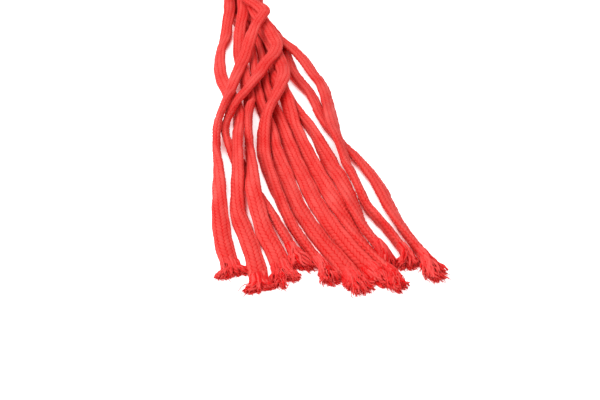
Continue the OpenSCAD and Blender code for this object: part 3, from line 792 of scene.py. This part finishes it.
# Gathering wrap. One length of thinner braided cord, wound five times round the gathered head.
# It holds the bundle together, and its two cut ends lie on top.
WRAP_DIAMETER = 0.004
WRAP_TURNS = 5
WRAP_PITCH = 0.0046
WRAP_Y = 0.131
WRAP_CLEARANCE = 0.0005
WRAP_COLUMNS = 6
WRAP_STITCH = 0.0019
WRAP_RELIEF = STITCH_RELIEF * 0.8
# Half the thickness of the yarn that shows in its cut ends, and the number of strands in each
WRAP_END = 0.0015
WRAP_END_STRANDS = 60
# Points on a turn, on the straight lead at each end and on the evened line, and the reach of its easing
TURN_POINTS = 96
LEAD_POINTS = 8
WRAP_POINTS = 1200
WRAP_EASE = 7


def wrap_line():
    """The middle of the wrap's cord, laid round the cords that it gathers."""
    neck_y = WRAP_Y + WRAP_TURNS * WRAP_PITCH / 2
    slices = []
    for line, route in zip(cords, ROUTES):
        spot = np.argmin(np.abs(line.points[:, 1] - ROUTE_ORIGIN[1] - neck_y))
        slices.append((*line.points[spot, [0, 2]], follow(route, np.array([neck_y]))[1][0]))
    x, z, roll = np.array(slices).T
    turn = np.pi / 2 + 2 * np.pi * np.linspace(0, WRAP_TURNS, WRAP_TURNS * TURN_POINTS + 1)
    c, s = np.cos(turn)[:, None], np.sin(turn)[:, None]
    # How far the gathered cords reach in each direction. The wrap lies on the hull that this gives
    hold = np.max(x * c + z * s + reach(roll, 1, turn[:, None]), axis=1)
    middle = np.array([x.mean(), z.mean()])
    far = hold - (c[:, 0] * middle[0] + s[:, 0] * middle[1]) + WRAP_CLEARANCE + WRAP_DIAMETER / 2
    slope = np.gradient(far, turn)
    px = middle[0] + far * c[:, 0] - slope * s[:, 0]
    pz = middle[1] + far * s[:, 0] + slope * c[:, 0]
    py = WRAP_Y + WRAP_PITCH * (turn - np.pi / 2) / (2 * np.pi) + ROUTE_ORIGIN[1]
    line = np.stack([px, py, pz], axis=1)
    lead = np.linspace(1, 0, LEAD_POINTS + 1)[:-1, None] * np.array([WRAP_DIAMETER, 0, 0])
    line = np.concatenate([line[0] + lead, line, line[-1] - lead[::-1]])
    at = np.concatenate([[0], np.cumsum(np.linalg.norm(np.diff(line, axis=0), axis=1))])
    even = np.linspace(0, at[-1], WRAP_POINTS)
    line = np.stack([np.interp(even, at, line[:, a]) for a in range(3)], axis=1)
    ease = np.exp(-np.linspace(-2, 2, 2 * WRAP_EASE + 1) ** 2)
    padded = np.pad(line, ((WRAP_EASE, WRAP_EASE), (0, 0)), mode="reflect", reflect_type="odd")
    line = np.stack([np.convolve(padded[:, a], ease / ease.sum(), mode="valid") for a in range(3)], axis=1)
    return Line(line, np.tile([0, 1.0, 0], (len(line), 1)), 0, len(line) - 1)


winding = wrap_line()


def wrap_half(at):
    """Half the wrap's thickness, which is the same all along."""
    return WRAP_DIAMETER / 2 * np.ones_like(np.asarray(at, dtype=float))


rings, place = sleeve(winding, winding.length, wrap_half, wrap_half, WRAP_COLUMNS, WRAP_STITCH,
                      WRAP_RELIEF, SHEATH_WALL)
rings = on_table(rings)
around = rings.shape[1]
maps = tube_maps(place, around, WRAP_COLUMNS, np.pi * WRAP_DIAMETER, WRAP_STITCH)
wrap = make_piece("gathering_wrap_cord", tube_points(rings), tube_faces(len(rings), around), maps,
                  sheath_cotton)
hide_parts("gathering_wrap")
ends = np.concatenate([cut_end(winding, at, way, WRAP_END, WRAP_END, WRAP_END_STRANDS)
                       for at, way in ((0.0, -1), (winding.length, 1))])
points, faces = yarn_tubes(ends, FIBRE_RADIUS * np.ones((len(ends), YARN_POINTS)))
maps = yarn_maps(len(ends), rng.uniform(0, 1, len(ends)))
make_piece("wrap_end_yarn", points, faces, maps, loose_cotton)

# Table and light. A plain white table under a broad soft lamp from the upper left,
# with even light from all round.
TABLE_SIZE = 6.0
TABLE_WHITE = (0.85, 0.85, 0.85, 1)
# What the table adds to the camera's view of it: an even white glow in the open, and painted shade, tinted
# with the cords' painted red bounce, deep between the cords
OPEN_GLOW = (0.8, 0.8, 0.8, 1)
GAP_PAINTED_SHADE = (0.42, 0.012, 0.01, 1)
# A gap is deep where less than this share of the room within reach is open, and the change is this steep
GAP_REACH = 0.03
GAP_OPEN = 0.13
GAP_STEEPNESS = 12.0
ROOM_WHITE = (1, 1, 1, 1)
ROOM_STRENGTH = 0.7
SEEN_STRENGTH = 1.0


def matt_white():
    """A matt white table, which to the camera is as good as white, but for painted shade in the deep gaps
    and a faint real shadow.
    """
    material, dye = new_material("white_table")
    path = dye.node("LightPath")
    outputs = path.socket.node.outputs
    seen = path.math("MAXIMUM", path, Dye(dye.tree, outputs["Is Glossy Ray"]))
    seen = path.math("MAXIMUM", seen, Dye(dye.tree, outputs["Is Transmission Ray"]))
    matt = dye.node("BsdfDiffuse", sockets={"Color": TABLE_WHITE})
    # Painted shade: deep between the cords, where hardly any of the room is open, the table's glow turns
    # dark red, with the cords' red bounce painted in
    open_share = dye.node("AmbientOcclusion", sockets={"Distance": GAP_REACH}, output="AO")
    light = (open_share - GAP_OPEN) * GAP_STEEPNESS
    light = light.math("MINIMUM", light.math("MAXIMUM", light, 0.0), 1.0)
    glow = dye.node("Emission", sockets={"Color": light.mix(GAP_PAINTED_SHADE, OPEN_GLOW)})
    bright = dye.node("AddShader", sockets={0: matt, 1: glow})
    both = dye.node("MixShader", sockets={0: seen, 1: matt, 2: bright})
    dye.node("OutputMaterial", sockets={"Surface": both})
    return material


mesh = bpy.data.meshes.new("table_top")
half = TABLE_SIZE / 2
corners = [(-half, -half, 0), (half, -half, 0), (half, half, 0), (-half, half, 0)]
mesh.from_pydata(corners, [], [(0, 1, 2, 3)])
mesh.materials.append(matt_white())
table = bpy.data.objects.new("table_top", mesh)
bpy.context.collection.objects.link(table)

world = bpy.data.worlds.new("soft_room")
bpy.context.scene.world = world
world.use_nodes = True
world.node_tree.nodes.clear()
room = Dye(world.node_tree)
path = room.node("LightPath")
even = room.node("Background", sockets={"Color": ROOM_WHITE, "Strength": ROOM_STRENGTH})
white = room.node("Background", sockets={"Color": ROOM_WHITE, "Strength": SEEN_STRENGTH})
sky = room.node("MixShader", sockets={0: path, 1: even, 2: white})
room.node("OutputWorld", sockets={"Surface": sky})


def soft_lamp(name, place, aim, size, power):
    """A square lamp that shines from its place to what it aims at."""
    lamp = bpy.data.lights.new(name, "AREA")
    lamp.size = size
    lamp.energy = power
    holder = bpy.data.objects.new(name, lamp)
    holder.location = place
    way = np.array(aim) - np.array(place)
    flat = np.hypot(way[0], way[1])
    holder.rotation_euler = (np.arctan2(flat, -way[2]), 0, np.arctan2(-way[0], way[1]))
    bpy.context.collection.objects.link(holder)


soft_lamp("upper_left", place=(-0.55, -0.25, 1.0), aim=(0, 0, 0), size=0.9, power=8.6)

bpy.context.scene.view_settings.view_transform = "Standard"
